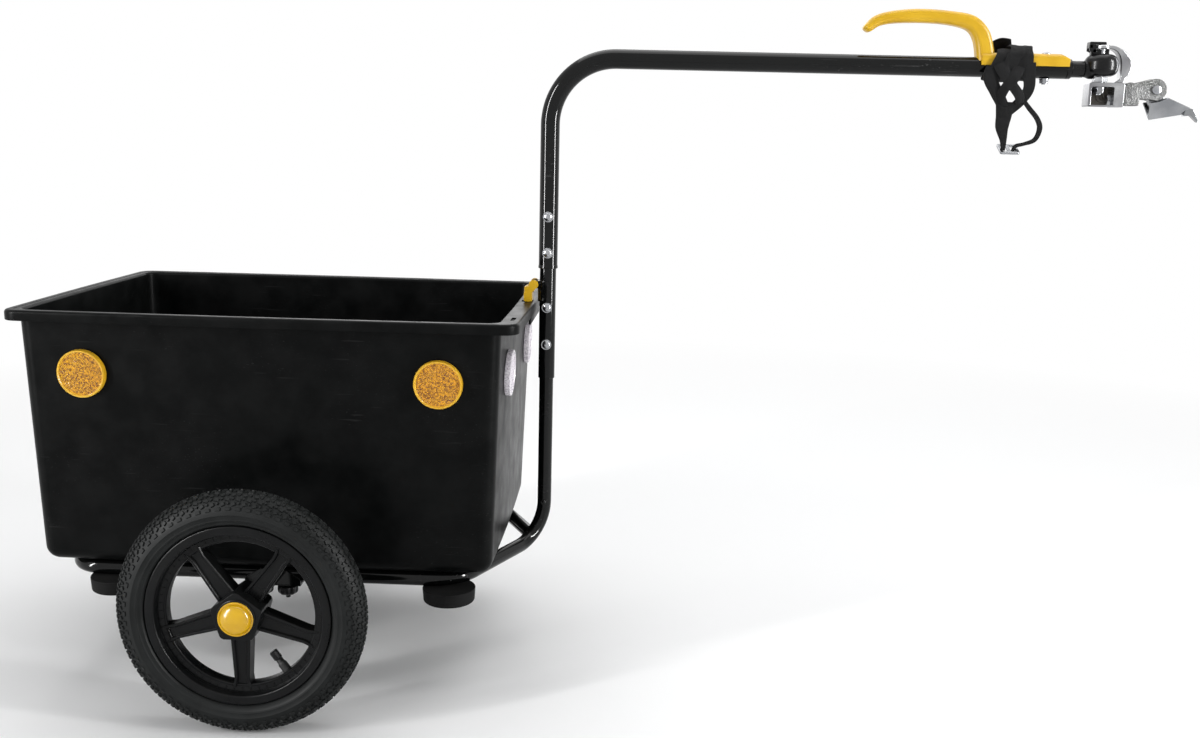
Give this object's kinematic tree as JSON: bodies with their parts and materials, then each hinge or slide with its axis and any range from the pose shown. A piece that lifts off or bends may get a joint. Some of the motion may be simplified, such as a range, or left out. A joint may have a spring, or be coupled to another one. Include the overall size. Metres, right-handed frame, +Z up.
{
  "type": "cargo bike trailer",
  "caption": "Two-wheeled bicycle trailer with a moulded cargo tub on a tube frame, a high drawbar with a pull handle and a swivelling hitch.",
  "frame": {"origin": "middle of the bounding box on the ground; the axle lies 424.75 mm behind it and 149 mm up", "axes": "+X forward to the hitch, +Y to the trailer's left, +Z up"},
  "size_m": [1.4882, 0.6826, 0.878],
  "materials": {
    "tub_plastic": "moulded, semi-matt",
    "frame_paint": "gloss black",
    "foot_rubber": "moulded",
    "zinc_plate": "bright zinc plate",
    "knob_plastic": "moulded, satin",
    "tyre_rubber": "moulded tread",
    "tube_rubber": "smooth",
    "rim_plastic": "moulded, satin",
    "yellow_plastic": "moulded, satin",
    "amber_lens": "prismatic",
    "clear_lens": "prismatic",
    "red_lens": "prismatic",
    "yoke_metal": "cast, bright satin",
    "cast_metal": "cast, zinc plated",
    "bare_steel": "pressed sheet",
    "strap_webbing": "woven webbing"
  },
  "bodies": {
    "frame": {"tub": "tub_plastic", "right_frame_tube": "frame_paint", "left_frame_tube": "frame_paint", "front_cross_bar": "frame_paint", "rear_cross_bar": "frame_paint", "front_right_foot": "foot_rubber", "front_left_foot": "foot_rubber", "rear_right_foot": "foot_rubber", "rear_left_foot": "foot_rubber", "axle_rod": "zinc_plate", "axle_spacer_tube": "frame_paint", "right_axle_bracket": "frame_paint", "left_axle_bracket": "frame_paint", "right_front_knob_bolt": "knob_plastic", "right_rear_knob_bolt": "knob_plastic", "left_front_knob_bolt": "knob_plastic", "left_rear_knob_bolt": "knob_plastic", "right_axle_nut": "zinc_plate", "left_axle_nut": "zinc_plate", "mast_sleeve": "frame_paint", "drawbar_tube": "frame_paint", "lower_sleeve_bolt": "zinc_plate", "upper_sleeve_bolt": "zinc_plate", "lower_drawbar_bolt": "zinc_plate", "upper_drawbar_bolt": "zinc_plate", "mast_rivet": "frame_paint", "handle": "yellow_plastic", "handle_bolt": "zinc_plate", "clip_bracket": "frame_paint", "clip_pin": "zinc_plate", "right_front_side_reflector": "amber_lens", "left_front_side_reflector": "amber_lens", "right_rear_side_reflector": "amber_lens", "left_rear_side_reflector": "amber_lens", "right_front_reflector": "clear_lens", "left_front_reflector": "clear_lens", "right_rear_reflector": "red_lens", "left_rear_reflector": "red_lens", "coupling_neck": "knob_plastic", "safety_strap": "strap_webbing", "strap_buckle": "zinc_plate"},
    "right_wheel": {"right_tyre": "tyre_rubber", "right_inner_tube": "tube_rubber", "right_rim": "rim_plastic", "right_wheel_bearings": "zinc_plate", "right_hub_cap": "yellow_plastic"},
    "left_wheel": {"left_tyre": "tyre_rubber", "left_inner_tube": "tube_rubber", "left_rim": "rim_plastic", "left_wheel_bearings": "zinc_plate", "left_hub_cap": "yellow_plastic"},
    "coupling_head": {"coupling_head": "knob_plastic"},
    "hitch_latch": {"hitch_latch": "knob_plastic"},
    "hitch_yoke": {"hitch_yoke": "yoke_metal", "kingpin": "zinc_plate", "hinge_knuckle": "cast_metal", "knuckle_pin": "zinc_plate", "knuckle_bolt": "zinc_plate"},
    "clamp_jaw": {"clamp_jaw": "bare_steel"},
    "tub_clip": {"tub_clip": "yellow_plastic"}
  },
  "joints": [
    {"name": "right_wheel_spin", "type": "hinge", "parent": "frame", "child": "right_wheel", "pos_m": [-0.42475, -0.305, 0.149], "axis": [0, 1, 0], "continuous": true},
    {"name": "left_wheel_spin", "type": "hinge", "parent": "frame", "child": "left_wheel", "pos_m": [-0.42475, 0.305, 0.149], "axis": [0, 1, 0], "continuous": true},
    {"name": "coupling_roll", "type": "hinge", "parent": "frame", "child": "coupling_head", "pos_m": [0.57525, 0, 0.8075], "axis": [1, 0, 0], "range_deg": [-90, 90]},
    {"name": "hitch_yaw", "type": "hinge", "parent": "coupling_head", "child": "hitch_yoke", "pos_m": [0.61525, 0, 0.813], "axis": [0, 0, 1], "range_deg": [-90, 90]},
    {"name": "jaw_pitch", "type": "hinge", "parent": "hitch_yoke", "child": "clamp_jaw", "pos_m": [0.68455, 0, 0.7834], "axis": [0, -1, 0], "range_deg": [-20, 90]},
    {"name": "tub_clip_hinge", "type": "hinge", "parent": "frame", "child": "tub_clip", "pos_m": [-0.11305, 0, 0.509], "axis": [0, 1, 0], "range_deg": [0, 110]},
    {"name": "latch_hinge", "type": "hinge", "parent": "coupling_head", "child": "hitch_latch", "pos_m": [0.60345, 0, 0.8306], "axis": [0, -1, 0], "range_deg": [0, 45]}
  ]
}
